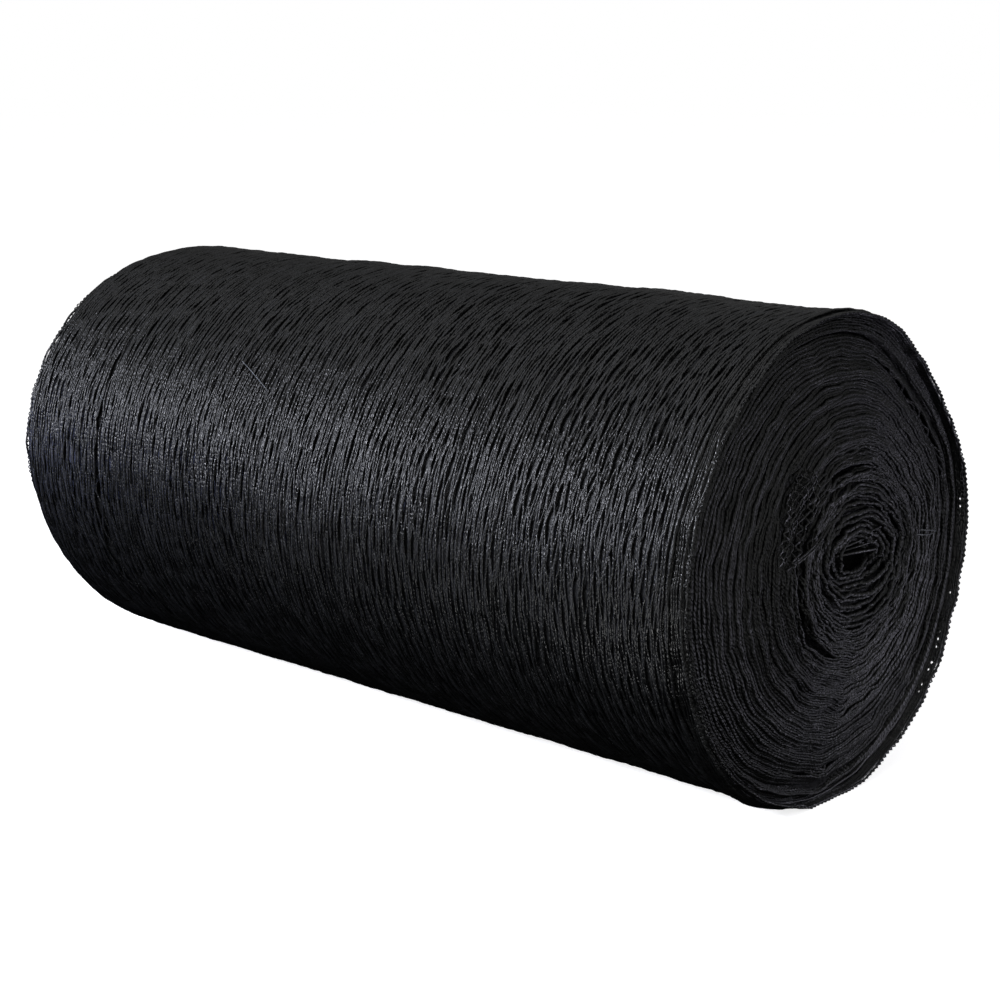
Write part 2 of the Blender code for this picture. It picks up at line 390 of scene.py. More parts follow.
def cuffShare(end, angle):
    return 1 - arcWindow(np.degrees(angle) % 360, *end["shoulder"], 0.6)


def rimLift(end, back, angle):
    restored = np.interp(back, lipProfile["back"], lipProfile["outside"])
    degrees, stands = zip(*end["rim"])
    own = np.interp(np.degrees(angle), degrees, stands, period=360) * mm
    fades, gone = lipProfile["rimFades"]
    return cuffShare(end, angle) * restored + own * np.clip((gone - back) / (gone - fades), 0, 1)


# The barrel: the top layer of net drawn out along the winding, so its diamonds close to slits
topLayer = {
    "pitch": 2.6 * mm, "pitchJitter": 0.8 * mm, "strandRadius": 0.76 * mm, "stopsShort": 4.6 * mm,
    "meshesRound": 27, "pointsRound": 226, "lift": 0.05 * mm, "knotRise": 0.3 * mm,
    "swing": 0.56 * mm, "swingPower": 0.8, "swingVaries": 1.3, "swingSize": 42 * mm,
    "phaseDrift": 2.6, "phaseSize": 70 * mm, "ownPhase": 1.2,
    "stray": 0.9 * mm, "straySize": 19 * mm, "fineStray": 0.45 * mm, "fineSize": 6.5 * mm, "rise": 0.7 * mm,
    "driftAcross": 2.6 * mm, "driftSize": 34 * mm, "driftStretch": 3.2,
    "fineDrift": 0.35, "finerBy": 4,   # a share of the drift again, so many times finer
    "riseSize": 13 * mm, "thickVaries": 0.16, "thickSize": 8 * mm,
    "calmFrom": 13 * mm, "calmPast": 3 * mm, "calmLeast": 0.2,   # strands lie straighter by the ends
    "seed": 3.1,
}
underLayer = dict(topLayer, pitch=2.9 * mm, strandRadius=0.76 * mm, stopsShort=5 * mm, meshesRound=19,
                  pointsRound=130, lift=-0.25 * mm, swing=0.9 * mm, seed=8.7)
# A slack place in the winding near the farther end, where two turns have parted
slackGroove = {"fromFarEnd": 76 * mm, "start": 118, "stop": 232, "parting": 1.9 * mm, "reach": 7 * mm}

slackMarks = {
    "reach": 4.5 * mm,
    "at": (
        # along the roll, angle, half the mark's length in degrees, how far the strands part
        (-67 * mm, 136.0, 6.5, 1.5 * mm),
        (-34 * mm, 137.5, 5.0, 1.2 * mm),
        (188 * mm, 142.5, 5.0, 1.5 * mm),
        (73 * mm, 129.5, 5.5, 1.2 * mm),
        (-114 * mm, 126.0, 5.5, 1.2 * mm),
        (84 * mm, 131.0, 4.5, 1.0 * mm),
        (148 * mm, 131.5, 5.0, 1.1 * mm),
        (46 * mm, 137.0, 3.5, 1.0 * mm),
        (205 * mm, 159.0, 5.0, 1.0 * mm),
    ),
}


def partedAtMarks(x, angle):
    degrees = np.degrees(angle) % 360
    moved = np.zeros(len(x))
    for at, middle, half, parting in slackMarks["at"]:
        off = x - at
        if np.abs(off).min() < 6 * slackMarks["reach"]:
            moved += (arcWindow(degrees, middle - half, middle + half) * parting * np.tanh(off / mm)
                      * np.exp(-np.abs(off) / slackMarks["reach"]))
    return moved


def barrelStrands(layer, shareFrom, shareTo):
    # the strands of one layer, over a share of the roll's length
    steps = layer["pointsRound"]
    angle = np.linspace(0, math.tau, steps, endpoint=False) - math.pi / 2
    ring = np.stack([np.cos(angle), np.sin(angle)], axis=1) * rollRadius
    parted = slackGroove["parting"] * arcWindow(np.degrees(angle), slackGroove["start"],
                                                slackGroove["stop"])
    reach = halfLength - layer["stopsShort"]
    count = int(2 * reach / layer["pitch"])
    seed = layer["seed"]
    paths, radii = [], []
    for i in range(int(count * shareFrom), int(count * shareTo)):
        x = -reach + 2 * reach * (i + 0.5) / count
        x += layer["pitchJitter"] * noise.noise(Vector((1.37 * i, seed, 0.5)))
        # places for the noise that neighbouring strands share, and for this strand's own
        shared = np.c_[np.full(steps, x), ring / layer["driftStretch"]]
        own = np.c_[np.full(steps, 0.317 * i), ring]
        phase = layer["meshesRound"] * angle
        phase += layer["phaseDrift"] * noiseAt(shared, layer["phaseSize"], seed + 20)
        phase += layer["ownPhase"] * noiseAt(own, layer["phaseSize"], seed + 24)
        varied = 1 + layer["swingVaries"] * noiseAt(shared, layer["swingSize"], seed + 28)
        swing = np.sin(phase) * (1 if i % 2 else -1)
        across = layer["swing"] * varied * np.sign(swing) * np.abs(swing) ** layer["swingPower"]
        across += layer["stray"] * noiseAt(own, layer["straySize"], seed + 32)
        across += layer["fineStray"] * noiseAt(own, layer["fineSize"], seed + 36)
        across += layer["driftAcross"] * noiseAt(shared, layer["driftSize"], seed)
        fineDrift = layer["fineDrift"] * layer["driftAcross"]
        across += fineDrift * noiseAt(shared, layer["driftSize"] / layer["finerBy"], seed + 5)
        fromEnd = reach - abs(x)
        lively = np.clip((fromEnd + layer["calmPast"]) / layer["calmFrom"], layer["calmLeast"], 1)
        placeX = x + lively * across
        off = placeX + halfLength - slackGroove["fromFarEnd"]
        placeX += parted * np.tanh(off / mm) * np.exp(-np.abs(off) / slackGroove["reach"])
        placeX += partedAtMarks(placeX, angle)
        rise = layer["knotRise"] * np.abs(swing) + layer["rise"] * noiseAt(own, layer["riseSize"], seed + 9)
        end = nearEnd if x > 0 else farEnd
        rise += rimLift(end, halfLength - np.abs(placeX), angle)
        paths.append(onBarrel(placeX, angle, layer["lift"] + rise))
        thicker = layer["thickVaries"] * noiseAt(own, layer["thickSize"], seed + 13)
        radii.append(layer["strandRadius"] * (1 + thicker))
    return paths, radii


for name, layer, start, stop, material in (
        ("barrel_net_far", topLayer, 0.0, 0.5, twine),
        ("barrel_net_near", topLayer, 0.5, 1.0, twine),
        ("barrel_net_under", underLayer, 0.0, 1.0, innerTwinePaintedLighter)):
    paths, radii = barrelStrands(layer, start, stop)
    strandPiece(name, paths, radii, True, material)

# The end faces: the selvedges of every turn, a spiral of wavy strands round the eye
faceTurns = {
    "turns": 45, "innerTurns": 7, "first": 0.075, "innerTo": 0.30, "last": 0.985, "pointsPerTurn": 118,
    "strandRadius": 0.83 * mm, "innerThicker": 1.45, "innerPast": 0.08, "innerFade": 0.14,
    "lift": 0.2 * mm, "between": 0.35 * mm, "betweenInside": 2.4 * mm, "deepest": 11 * mm,
    "slump": 1.3, "slumpReach": 0.22, "slumpFrom": 0.20,
    "wave": 1.5 * mm, "waveSize": 15 * mm, "ownWave": 0.9 * mm, "ownSize": 5.5 * mm,
    "depthWave": 1.5 * mm, "depthSize": 10 * mm, "ownDepth": 1.2 * mm,
    "fineWave": 0.5, "finerBy": 2.6,   # a share of the wave again, so many times finer
    "rimFade": 0.06, "rimLeast": 0.15, "eyeFade": 0.16, "eyeLeast": 0.25,   # less wave by lip and eye
    "bunching": 0.014, "bunchSize": 0.07, "bunchRound": 0.9, "bunchFade": 0.1,
    "gapEdge": 0.25 * mm, "gapReach": 9 * mm,
    "troughFrom": 0.94, "troughFade": 0.05, "troughTakes": 0.4,   # the last turns follow the end's trough
    "slits": 54, "slitParting": 0.6 * mm, "slitEdge": 0.6 * mm, "slitReach": 3.5 * mm, "slitSeed": 11,
    "bridges": 8 * mm,
    "calmFrom": 0.42, "calmFull": 0.62, "calm": 0.7,   # the outer turns lie flatter than the inner ones
}


def radiusNear(end, back, angle):
    return barrelRadius(np.full(len(angle), end["side"] * (halfLength - back)), angle)


def lipInset(end, angle):
    # how far the inside of the lip lies in from the barrel, read from how round its shoulder is
    drop = radiusNear(end, lipProfile["shoulderFrom"], angle) - radiusNear(end, lipProfile["mouth"], angle)
    share = np.clip(drop / lipProfile["insetDrop"], lipProfile["insetLeast"], lipProfile["insetMost"])
    return lipProfile["inset"] * share


def onTurns(end, angle, share):
    # places on an end's turns, from the roll's axis: share 0 is the eye, 1 the inside of the lip
    rim = radiusNear(end, lipProfile["shoulderFrom"], angle) - lipInset(end, angle)
    slump = faceTurns["slump"] * np.exp(-(share / faceTurns["slumpReach"]) ** 2)
    widened = np.sqrt(1 + slump * smoothStep(share / faceTurns["slumpFrom"]))
    y = end["eye"][0] * (1 - share ** 2) + share * rim * np.cos(angle) * widened
    z = end["eye"][1] * (1 - share ** 2) + share * rim * np.sin(angle) / widened
    return y, z


def turnAt(end, y, z):
    # which turn passes a place on the face, as its angle and its share of the way out
    tries = np.meshgrid(np.linspace(0, math.tau, 361), np.linspace(0.05, 0.97, 185))
    angle, share = (grid.ravel() for grid in tries)
    atY, atZ = onTurns(end, angle, share)
    best = np.argmin(np.hypot(atY - y * mm, atZ - z * mm))
    return math.degrees(angle[best]), share[best]


def turnShare(turn):
    # the turns by the eye are fewer and thicker than the rest
    return np.interp(turn, (0, faceTurns["innerTurns"], faceTurns["turns"]),
                     (faceTurns["first"], faceTurns["innerTo"], faceTurns["last"]))


def gapTable(end):
    # each gap runs along between two turns, so no strand crosses it
    turns = np.linspace(0, faceTurns["turns"], 600)
    for start, stop, parting in end["gaps"]:
        (startAngle, share), stopAngle = turnAt(end, *start), turnAt(end, *stop)[0]
        stopAngle += 360 if stopAngle < startAngle else 0
        part = startAngle / 360 + 0.25
        turn = part + round(np.interp(share, turnShare(turns), turns) - part)
        stopTurn = turn + (stopAngle - startAngle) / 360
        yield startAngle, stopAngle, turnShare(turn), turnShare(stopTurn), parting


def slitTable(end):
    picks = np.random.default_rng(faceTurns["slitSeed"] + end["side"])
    count = faceTurns["slits"]
    start = picks.uniform(0, 360, count)
    return zip(start, start + picks.uniform(10, 34, count), picks.uniform(0.12, 0.95, count),
               picks.uniform(0.4, 1.2, count) * faceTurns["slitParting"])


def bridgedStands(side, angle, y, z):
    # as endStands, but hanging straight across the form's narrow grooves
    reachY, reachZ = faceTurns["bridges"] * np.cos(angle), faceTurns["bridges"] * np.sin(angle)
    banks = np.minimum(endStands(side, y - reachY, z - reachZ), endStands(side, y + reachY, z + reachZ))
    return np.maximum(endStands(side, y, z), banks)


def facePoints(end, angle, share, lift, seed):
    side = end["side"]
    degrees = np.degrees(angle) % 360
    ring = np.stack([np.cos(angle), np.sin(angle)], axis=1) * faceTurns["bunchRound"]
    rounds = np.c_[share / faceTurns["bunchSize"], ring]
    calm = 1 - faceTurns["calm"] * smoothStep((share - faceTurns["calmFrom"])
                                              / (faceTurns["calmFull"] - faceTurns["calmFrom"]))
    away = np.zeros(len(share))
    for start, stop, startShare, stopShare, parting in gapTable(end):
        along = ((degrees - start) % 360) / (stop - start)
        off = (share - startShare - (stopShare - startShare) * np.clip(along, 0, 1)) * rollRadius
        parted = arcWindow(degrees, start, stop) * parting * np.tanh(off / faceTurns["gapEdge"])
        away += parted * np.exp(-np.abs(off) / faceTurns["gapReach"])
    for start, stop, at, parting in slitTable(end):
        off = (share - at) * rollRadius
        parted = parting * np.tanh(off / faceTurns["slitEdge"])
        parted *= np.exp(-np.abs(off) / faceTurns["slitReach"])
        away += arcWindow(degrees, start, stop) * parted * calm
    bunched = faceTurns["bunching"] * noiseAt(rounds, 1, end["seed"])
    share = share + bunched * np.clip((1 - share) / faceTurns["bunchFade"], 0, 1) * calm
    y, z = onTurns(end, angle, share)
    spot = np.stack([y, z, np.full(len(y), side * 0.1)], axis=1)
    ownSpot = np.c_[spot[:, :2], share * 9]
    wave = faceTurns["wave"] * noiseAt(spot, faceTurns["waveSize"], end["seed"])
    fineWave = faceTurns["fineWave"] * faceTurns["wave"]
    wave += fineWave * noiseAt(spot, faceTurns["waveSize"] / faceTurns["finerBy"], end["seed"] + 4)
    wave += faceTurns["ownWave"] * noiseAt(ownSpot, faceTurns["ownSize"], seed) * calm
    fade = np.clip((1 - share) / faceTurns["rimFade"], faceTurns["rimLeast"], 1)
    fade *= np.clip(faceTurns["eyeLeast"] + share / faceTurns["eyeFade"], 0, 1)
    push = wave * fade + away
    y = y + push * np.cos(angle)
    z = z + push * np.sin(angle)
    stands = np.maximum(bridgedStands(side, angle, y, z), halfLength - faceTurns["deepest"])
    start, stop, dropped = end["trough"]
    troughShare = smoothStep((share - faceTurns["troughFrom"]) / faceTurns["troughFade"])
    stands -= faceTurns["troughTakes"] * dropped * arcWindow(degrees, start, stop, 1.0) * troughShare
    stands += faceTurns["depthWave"] * noiseAt(spot, faceTurns["depthSize"], end["seed"] + 8)
    stands += faceTurns["ownDepth"] * noiseAt(ownSpot, faceTurns["ownSize"], seed + 2) * calm
    patch = end["lacePatch"]
    if patch:
        stands -= patchDrop(patch, y, z)
    return np.stack([side * (stands + lift), y, axisHeight + z], axis=1)


def spiralStrand(end, offset, lifts, seed):
    turn = np.linspace(0, faceTurns["turns"], faceTurns["turns"] * faceTurns["pointsPerTurn"])
    share = turnShare(turn + offset)
    inside = smoothStep((faceTurns["innerTo"] + faceTurns["innerPast"] - share) / faceTurns["innerFade"])
    lift = lifts[0] * inside + lifts[1] * (1 - inside)
    radius = faceTurns["strandRadius"] * (1 + (faceTurns["innerThicker"] - 1) * inside)
    return facePoints(end, math.tau * turn, share, lift, seed), radius


spirals = (
    # how many turns it is set on, and its lift by the eye and beyond
    ("turns", 0.0, (faceTurns["lift"], faceTurns["lift"])),
    ("turns_between", 0.5, (-faceTurns["betweenInside"], -faceTurns["between"])),
)
for end in (nearEnd, farEnd):
    for label, offset, lifts in spirals:
        path, radius = spiralStrand(end, offset, lifts, end["seed"] + 30 * offset)
        strandPiece(end["label"] + "_end_" + label, [path], [radius], False, selvedgeTwine)
print("end faces wound")

# Each end's lip: the outermost turn's selvedge, one layer of strands with a row of meshes behind its edge,
# and further strands down the inside of the lip to the end face
cuff = {
    "rows": (
        # back from the end, strand radius
        (9.6 * mm, 0.80 * mm),
        (8.4 * mm, 0.84 * mm),
        (7.2 * mm, 0.86 * mm),
        (6.1 * mm, 0.86 * mm),
        (5.1 * mm, 0.82 * mm),
        (2.3 * mm, 0.80 * mm),
        (1.2 * mm, 0.82 * mm),
        (0.2 * mm, 0.78 * mm),
    ),
    "points": 240, "above": 0.2 * mm, "waveAlong": 0.9 * mm, "waveOut": 0.9 * mm, "waveSize": 12 * mm,
    "fineAlong": 0.225 * mm, "fineOut": 0.45 * mm, "fineSize": 6 * mm,
    "patterned": (84, 254, 0.4),   # the arc that shows from outside keeps the barrel's own pattern
    "meshBacks": (4.3 * mm, 3.3 * mm), "meshRadius": 0.64 * mm, "meshPitch": 4.4 * mm,
    "meshOpens": 0.85 * mm, "meshMean": 0.75, "meshMost": 1.2, "meshVaries": 1.6, "meshVariesSize": 9 * mm,
    "toothFrom": 0.4 * mm, "toothTo": -0.9 * mm, "toothPitch": 3.1 * mm, "toothRadius": 0.46 * mm,
    "wallFrom": 0.4 * mm, "wallBelowCuff": 5.0 * mm, "wallRows": 7, "wallRadius": 0.82 * mm,
    "wallLeast": 2 * mm,
    "crownRows": 6, "crownSink": 1.2 * mm, "crownFirst": 0.6, "crownSpare": 0.2, "crownShallower": 0.5,
    "wallBackWave": 0.8 * mm, "wallWave": 0.7 * mm, "wallWaveSize": 14 * mm,
}


def rollRing(side, angle):
    # places round the roll for noise, apart from the other end's
    x = np.full(len(angle), side * 0.05)
    return np.stack([x, rollRadius * np.cos(angle), rollRadius * np.sin(angle)], axis=1)


def cuffPoints(end, angle, back, seed):
    side = end["side"]
    ring = rollRing(side, angle)
    back = back + cuff["waveAlong"] * noiseAt(ring, cuff["waveSize"], end["seed"] + 40)
    lift = cuff["above"] + rimLift(end, back, angle)
    lift += cuff["waveOut"] * noiseAt(ring, cuff["waveSize"], end["seed"] + 44)
    lift += cuff["fineOut"] * noiseAt(ring, cuff["fineSize"], seed + 3)
    x = side * (halfLength - back)
    return roundAxis(x, barrelRadius(x, angle) + lift, angle)


def openMeshRow(end, back, away):
    # a strand that leaves its neighbour again and again along the arcs where the meshes are open
    meshes = int(math.tau * rollRadius / cuff["meshPitch"])
    angle = np.linspace(0, math.tau, 6 * meshes, endpoint=False) - math.pi / 2
    opened = sum(arcWindow(np.degrees(angle) % 360, start % 360, start % 360 + stop - start) * amount
                 for start, stop, amount in end["openMeshes"])
    uneven = noiseAt(rollRing(end["side"], angle), cuff["meshVariesSize"], end["seed"] + 48)
    uneven = np.clip(cuff["meshMean"] + cuff["meshVaries"] * uneven, 0, cuff["meshMost"])
    lens = np.clip(np.sin(meshes * angle), 0, 1) * opened * uneven
    return cuffPoints(end, angle, back + away * lens, end["seed"] + 49)


def edgeTeeth(end):
    teeth = int(math.tau * rollRadius / cuff["toothPitch"])
    angle = np.linspace(0, math.tau, 4 * teeth, endpoint=False)
    share = np.tile((0, 0.5, 1, 0.5), teeth)
    back = cuff["toothFrom"] + (cuff["toothTo"] - cuff["toothFrom"]) * share
    return cuffPoints(end, angle, back, end["seed"] + 68)


def makeLip(end):
    side = end["side"]
    angle = np.linspace(0, math.tau, cuff["points"], endpoint=False) - math.pi / 2
    ring = rollRing(side, angle)
    patterned = arcWindow(np.degrees(angle) % 360, *cuff["patterned"])
    paths, radii = [], []
    for i, (back, radius) in enumerate(cuff["rows"]):
        seed = end["seed"] + 50 + 3 * i
        own = cuff["fineAlong"] * noiseAt(ring, cuff["fineSize"], seed)
        own += patterned * topLayer["stray"] * noiseAt(ring, topLayer["straySize"], seed + 1)
        own += patterned * topLayer["swing"] * np.sin(topLayer["meshesRound"] * angle + math.pi * i)
        paths.append(cuffPoints(end, angle, back + own, seed))
        radii.append(radius)
    strandPiece(end["label"] + "_selvedge", paths, radii, True, twine)
    opens = cuff["meshOpens"]
    meshRows = [openMeshRow(end, back, away) for back, away in zip(cuff["meshBacks"], (opens, -opens))]
    strandPiece(end["label"] + "_selvedge_meshes", meshRows, [cuff["meshRadius"]] * 2, True, twine)
    strandPiece(end["label"] + "_selvedge_edge", [edgeTeeth(end)], [cuff["toothRadius"]], True, twine)

    barrel = radiusNear(end, lipProfile["shoulderFrom"], angle)
    inset = lipInset(end, angle)
    foot = barrel - inset - mm
    faceBack = halfLength - endStands(side, foot * np.cos(angle), foot * np.sin(angle))
    wallTop = cuff["wallFrom"] + cuff["wallBelowCuff"] * cuffShare(end, angle)
    faceBack = np.maximum(faceBack, wallTop + cuff["wallLeast"])
    paths = []
    size = cuff["wallWaveSize"]
    for i in range(cuff["wallRows"]):
        back = wallTop + (faceBack - wallTop) * i / (cuff["wallRows"] - 1)
        back += cuff["wallBackWave"] * noiseAt(ring, size, end["seed"] + 70 + i)
        inwards = inset * np.interp(back, lipProfile["wallBack"], lipProfile["wallShare"])
        radius = barrel - inwards + cuff["wallWave"] * noiseAt(ring, size, end["seed"] + 80 + i)
        paths.append(roundAxis(side * (halfLength - back), radius, angle))
    # the next turn's edge, between the cuff and the wall
    start, stop, dropped = end["trough"]
    drop = dropped * arcWindow(np.degrees(angle) % 360, start, stop, 1.0)
    innermost = inset * np.interp(wallTop, lipProfile["wallBack"], lipProfile["wallShare"])
    outermost = np.interp(wallTop, lipProfile["back"], lipProfile["outside"]) - rimLift(end, wallTop, angle)
    for i in range(cuff["crownRows"]):
        outwards = (i + cuff["crownFirst"]) / (cuff["crownRows"] + cuff["crownSpare"])
        back = wallTop + cuff["crownSink"] * outwards
        back += cuff["wallBackWave"] * noiseAt(ring, size, end["seed"] + 90 + i)
        back += drop * (1 - cuff["crownShallower"] * outwards)
        inwards = innermost + (outermost - innermost) * outwards
        radius = barrel - inwards + cuff["wallWave"] * noiseAt(ring, size, end["seed"] + 100 + i)
        paths.append(roundAxis(side * (halfLength - back), radius, angle))
    strandPiece(end["label"] + "_lip_wall", paths, [cuff["wallRadius"]] * len(paths), True, selvedgeTwine)


for end in (nearEnd, farEnd):
    makeLip(end)
print("lips and selvedges made")

# A patch of slack net on the nearer end, its meshes open and its threads lying across the turns
lace = {
    "columns": 9, "pitch": 2.9 * mm, "swing": 1.3 * mm, "mesh": 5.2 * mm, "threadRadius": 0.50 * mm,
    "top": 52 * mm, "topFalls": 9 * mm, "topVaries": 5 * mm,
    "bottom": 1 * mm, "bottomRises": 8 * mm, "bottomVaries": 4 * mm,
    "strayAcross": 2.4 * mm, "acrossSize": 9 * mm, "strayDown": 1.5 * mm, "downSize": 8 * mm,
    "lean": 0.22, "above": 2.4 * mm, "rise": 1.6 * mm, "riseSize": 10 * mm, "seed": 5.7,
}


def onFace(end, y, z, above):
    stands = endStands(end["side"], y, z)
    return np.stack([end["side"] * (stands + above), y, axisHeight + z], axis=1)


def laceThreads():
    patch = nearEnd["lacePatch"]
    half = (lace["columns"] - 1) / 2
    paths = []
    for i in range(lace["columns"]):
        off = (i - half) / half
        top = lace["top"] - lace["topFalls"] * off ** 2
        top += lace["topVaries"] * noise.noise(Vector((i * 1.3, 2.2, lace["seed"])))
        bottom = lace["bottom"] + lace["bottomRises"] * (1 - off) / 2
        bottom += lace["bottomVaries"] * noise.noise(Vector((i * 1.7, 8.2, lace["seed"])))
        z = np.linspace(top, bottom, 4 * int((top - bottom) / lace["mesh"]) + 1)
        swing = lace["swing"] * np.sin(math.tau * (z - lace["bottom"]) / lace["mesh"])
        y = patch["y"] + off * half * lace["pitch"] + lace["lean"] * (z - patch["z"])
        y += swing * (1 if i % 2 else -1)
        spot = np.stack([y, z, np.full(len(y), 0.3)], axis=1)
        y = y + lace["strayAcross"] * noiseAt(spot, lace["acrossSize"], lace["seed"])
        z = z + lace["strayDown"] * noiseAt(spot, lace["downSize"], lace["seed"] + 4)
        above = lace["above"] + lace["rise"] * noiseAt(spot, lace["riseSize"], lace["seed"] + 8)
        paths.append(onFace(nearEnd, y, z, above))
    return paths


strandPiece("near_end_slack_meshes", laceThreads(), [lace["threadRadius"]] * lace["columns"], False, twine)

# Threads of the innermost turn that lie across the eye, and a bundle across the head of the long gap
crossings = {
    "points": 16, "tuckedIn": 0.6,   # how far their ends go in, mm
    "threads": (
        # (y, z) at one end and at the other from the roll's axis, sag, height above the face, radius, in mm
        ((17, -2), (48, -1), -0.8, 2.2, 1.05),
        ((20, -1), (47, 4), -0.6, 2.0, 0.70),
        ((20, 1), (50, 8), -0.8, 2.4, 0.80),
        ((26, 5), (50, 11), -0.8, 2.4, 0.70),
        ((6, 22), (-34, 3), 1.5, 3.0, 0.80),
        ((8, 24), (-26, 1), 3.0, 3.4, 0.60),
        ((2, 21), (-30, 6), 0.6, 2.6, 0.60),
    ),
}


def crossingPaths():
    t = np.linspace(0, 1, crossings["points"])
    bow = np.sin(math.pi * t)
    paths = []
    for start, stop, sag, above, radius in crossings["threads"]:
        y = (start[0] + (stop[0] - start[0]) * t) * mm
        z = (start[1] + (stop[1] - start[1]) * t - sag * bow) * mm
        ends = onFace(nearEnd, y[[0, -1]], z[[0, -1]], 0)[:, 0]
        x = ends[0] + (ends[1] - ends[0]) * t + (above * bow - crossings["tuckedIn"]) * mm
        paths.append(np.stack([x, y, axisHeight + z], axis=1))
    return paths


threadRadii = [row[-1] * mm for row in crossings["threads"]]
strandPiece("near_end_crossing_threads", crossingPaths(), threadRadii, False, twine)
print("slack meshes and crossing threads laid")

# Stray filaments, each a short curve of its own
strays = {
    "radius": 0.24 * mm, "points": 14, "above": 0.8 * mm,
    "barrel": (
        # x, degrees at one end and at the other, bow along the roll, height at the middle
        (-76 * mm, 142.0, -45 * mm, 148.5, 1.5 * mm, 2.2 * mm),
        (-193 * mm, 158.0, -187 * mm, 159.5, 0.5 * mm, 1.2 * mm),
    ),
    "face": (
        # y, z at one end and at the other, bow up, height at the middle, in mm from the roll's axis
        (81, 1.5, 103, -0.6, -0.8, 1.6),
        (84, 3.4, 103, -0.6, 0.3, 2.0),
        (-105, -36, -98, -35, 0.3, 2.5),
    ),
}


def strayPaths():
    t = np.linspace(0, 1, strays["points"])
    bow = np.sin(math.pi * t)
    paths = []
    for startX, startDegrees, stopX, stopDegrees, swing, height in strays["barrel"]:
        angle = np.radians(startDegrees + (stopDegrees - startDegrees) * t)
        x = startX + (stopX - startX) * t + swing * bow
        paths.append(onBarrel(x, angle, strays["above"] + height * bow))
    for startY, startZ, stopY, stopZ, swing, height in strays["face"]:
        y, z = (startY + (stopY - startY) * t) * mm, (startZ + (stopZ - startZ) * t + swing * bow) * mm
        stands = endStands(1, y, z)
        x = stands[0] + (stands[-1] - stands[0]) * t + strays["above"] + height * bow * mm
        paths.append(np.stack([x, y, axisHeight + z], axis=1))
    return paths


paths = strayPaths()
strandPiece("stray_filaments", paths, [strays["radius"]] * len(paths), False, looseFibre)

# The body of the winding under the strands, dark with painted shade on the ends and in the eye, and painted
# lighter on the barrel
body = {
    "under": 1.2 * mm, "lipReach": 14 * mm, "lipShort": 2.2 * mm, "cuffShort": 4.2 * mm,
    "barrelFrom": 12 * mm, "shellFrom": 11 * mm, "shellFades": 5 * mm,   # in from the roll's radius
    "eyeReach": 17 * mm, "eyeFull": 9 * mm, "eyeDrop": 18 * mm,
}


def woundBody():
    bm = mergedSolid()
    bm.normal_update()
    places = np.array([vert.co for vert in bm.verts])
    angle = np.arctan2(places[:, 2] - axisHeight, places[:, 1])
    raised = standOff(places[:, 0], angle)
    patch = nearEnd["lacePatch"]
    # the mask for painted light and shade: faces out on the barrel, turned sideways, take the twine's copy
    # painted lighter; the ends and the eye take the copy painted darker
    for face in bm.faces:
        middle = face.calc_center_median()
        outside = math.hypot(middle.y, middle.z - axisHeight) > rollRadius - body["barrelFrom"]
        face.material_index = int(outside and abs(face.normal.x) < 0.5)
    for vert, a, lift in zip(bm.verts, angle, raised):
        end = nearEnd if vert.co.x > 0 else farEnd
        outwards = Vector((0, math.cos(a), math.sin(a)))
        y, z = vert.co.y, vert.co.z - axisHeight
        shell = smoothStep((math.hypot(y, z) - rollRadius + body["shellFrom"]) / body["shellFades"])
        back = halfLength - abs(vert.co.x)
        onFaceSide = vert.normal.x * end["side"] > 0.5
        vert.co -= vert.normal * body["under"]
        vert.co += outwards * float(shell) * lift
        if back < body["lipReach"]:
            # the lip itself is only strands: the body stops short of it
            short = body["lipShort"] + body["cuffShort"] * float(cuffShare(end, a))
            vert.co.x -= end["side"] * short * (1 - back / body["lipReach"])
        if end is nearEnd and onFaceSide:
            vert.co.x -= float(patchDrop(patch, y, z))
            fromEye = math.hypot(y - end["eye"][0], z - end["eye"][1])
            vert.co.x -= body["eyeDrop"] * float(smoothStep((body["eyeReach"] - fromEye)
                                                            / (body["eyeReach"] - body["eyeFull"])))
        vert.co.z = max(vert.co.z, 0.2 * mm)
    mesh = bpy.data.meshes.new("wound_body")
    bm.to_mesh(mesh)
    bm.free()
    # the twine's copy painted darker, painted shade, on the ends and in the eye
    mesh.materials.append(deepTwinePaintedShade)
    # the twine's copy painted lighter, painted light, on the barrel
    mesh.materials.append(innerTwinePaintedLighter)   # on the barrel, where a little light comes back between the strands
    mesh.shade_smooth()
    piece = bpy.data.objects.new("wound_body", mesh)
    scene.collection.objects.link(piece)
    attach(piece, "root")
    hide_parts("netting_roll")
    return piece


woundBody()
print("wound body made")


def areaLight(name, towards, aim, distance, size, power, colour):
    # a soft light, given by the direction from its aim towards it
    data = bpy.data.lights.new(name, "AREA")
    data.shape, data.size, data.size_y = "RECTANGLE", size[0], size[1]
    data.energy, data.color = power, toLinear(colour)[:3]
    light = bpy.data.objects.new(name, data)
    direction = Vector(towards).normalized()
    light.location = Vector(aim) + direction * distance
    light.rotation_euler = direction.to_track_quat("Z", "Y").to_euler()
    light.visible_camera = False
    scene.collection.objects.link(light)


# A pale table under the roll that glows a little, as a lit sweep of paper does
table = {"radius": 14, "colour": "#f6f6f6", "rough": 0.9, "glow": 0.78}


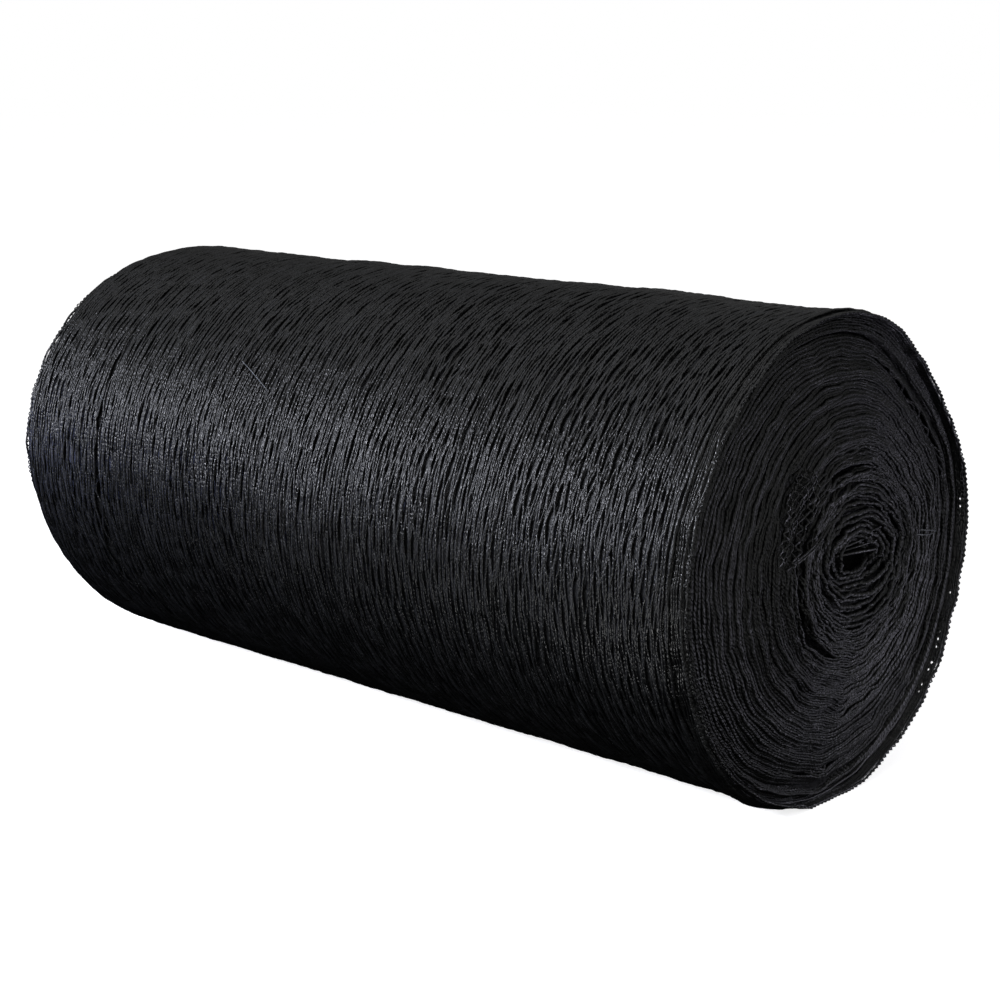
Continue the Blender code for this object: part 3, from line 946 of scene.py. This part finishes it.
def plainFloor():
    bm = bmesh.new()
    bmesh.ops.create_circle(bm, cap_ends=True, segments=96, radius=table["radius"])
    mesh = bpy.data.meshes.new("floor")
    bm.to_mesh(mesh)
    bm.free()
    material = bpy.data.materials.new("pale_floor")
    material.use_nodes = True
    shader = material.node_tree.nodes["Principled BSDF"]
    shader.inputs["Base Color"].default_value = toLinear(table["colour"])
    shader.inputs["Roughness"].default_value = table["rough"]
    shader.inputs["Emission Color"].default_value = (1, 1, 1, 1)
    shader.inputs["Emission Strength"].default_value = table["glow"]
    mesh.materials.append(material)
    floor = bpy.data.objects.new("floor", mesh)
    scene.collection.objects.link(floor)
    floor.visible_diffuse = floor.visible_glossy = False


# Soft studio light: a dim dome over a dark table, white only where the camera looks straight at it
dome = {"low": 0.003, "horizon": 0.035, "high": 0.25, "highAt": 0.35, "edge": 0.03}


def plainWorld():
    world = bpy.data.worlds.new("studio")
    world.use_nodes = True
    tree = world.node_tree
    tree.nodes.clear()
    place = addNode(tree, "TexCoord")
    parts = addNode(tree, "SeparateXYZ", links={0: place.outputs["Generated"]})
    above = addNode(tree, "MapRange",
                    {"From Max": dome["highAt"], "To Min": dome["horizon"], "To Max": dome["high"]},
                    {"Value": parts.outputs[2]})
    overTable = addNode(tree, "MapRange", {"From Min": -dome["edge"], "From Max": dome["edge"]},
                        {"Value": parts.outputs[2]})
    strength = addNode(tree, "Mix", {"data_type": "FLOAT", 2: dome["low"]},
                       {0: overTable.outputs[0], 3: above.outputs[0]})
    sky = addNode(tree, "Background", {"Color": (1, 1, 1, 1)}, {"Strength": strength.outputs[0]})
    seen = addNode(tree, "Background", {"Color": (1, 1, 1, 1), "Strength": 1.0})
    ray = addNode(tree, "LightPath")
    mix = addNode(tree, "MixShader",
                  links={0: ray.outputs["Is Camera Ray"], 1: sky.outputs[0], 2: seen.outputs[0]})
    addNode(tree, "OutputWorld", links={0: mix.outputs[0]})
    scene.world = world


middle = (0, 0, axisHeight)
nearMiddle = (halfLength, 0, axisHeight)
farMiddle = (-halfLength, 0, axisHeight)
lights = (
    # name, the way from its aim to it, its aim, how far off, its two sides, watts, colour
    ("key", (-0.17, -0.89, 0.41), (0.03, 0, axisHeight), 1.7, (1.3, 0.20), 30, "#f0f3ff"),
    ("top", (0.15, -0.3, 1.0), middle, 2.4, (2.0, 2.2), 9.5, "#ffffff"),
    ("end_fill", (0.95, 0.02, 0.22), nearMiddle, 0.95, (0.9, 0.8), 1.3, "#ffffff"),
    ("end_low", (0.50, 0.72, -0.30), nearMiddle, 0.24, (0.12, 0.08), 0.13, "#eceaff"),
    ("end_side", (0.28, -0.93, -0.20), (0.24, 0, 0.09), 0.40, (0.16, 0.08), 0.32, "#ffffff"),
    ("far_window", (-0.74, -0.67, -0.07), farMiddle, 0.55, (0.35, 0.16), 1.2, "#b8c4ff"),
)
for light in lights:
    areaLight(*light)
plainFloor()
plainWorld()
print("lights, table and sky set")
scene.view_settings.view_transform = "Standard"
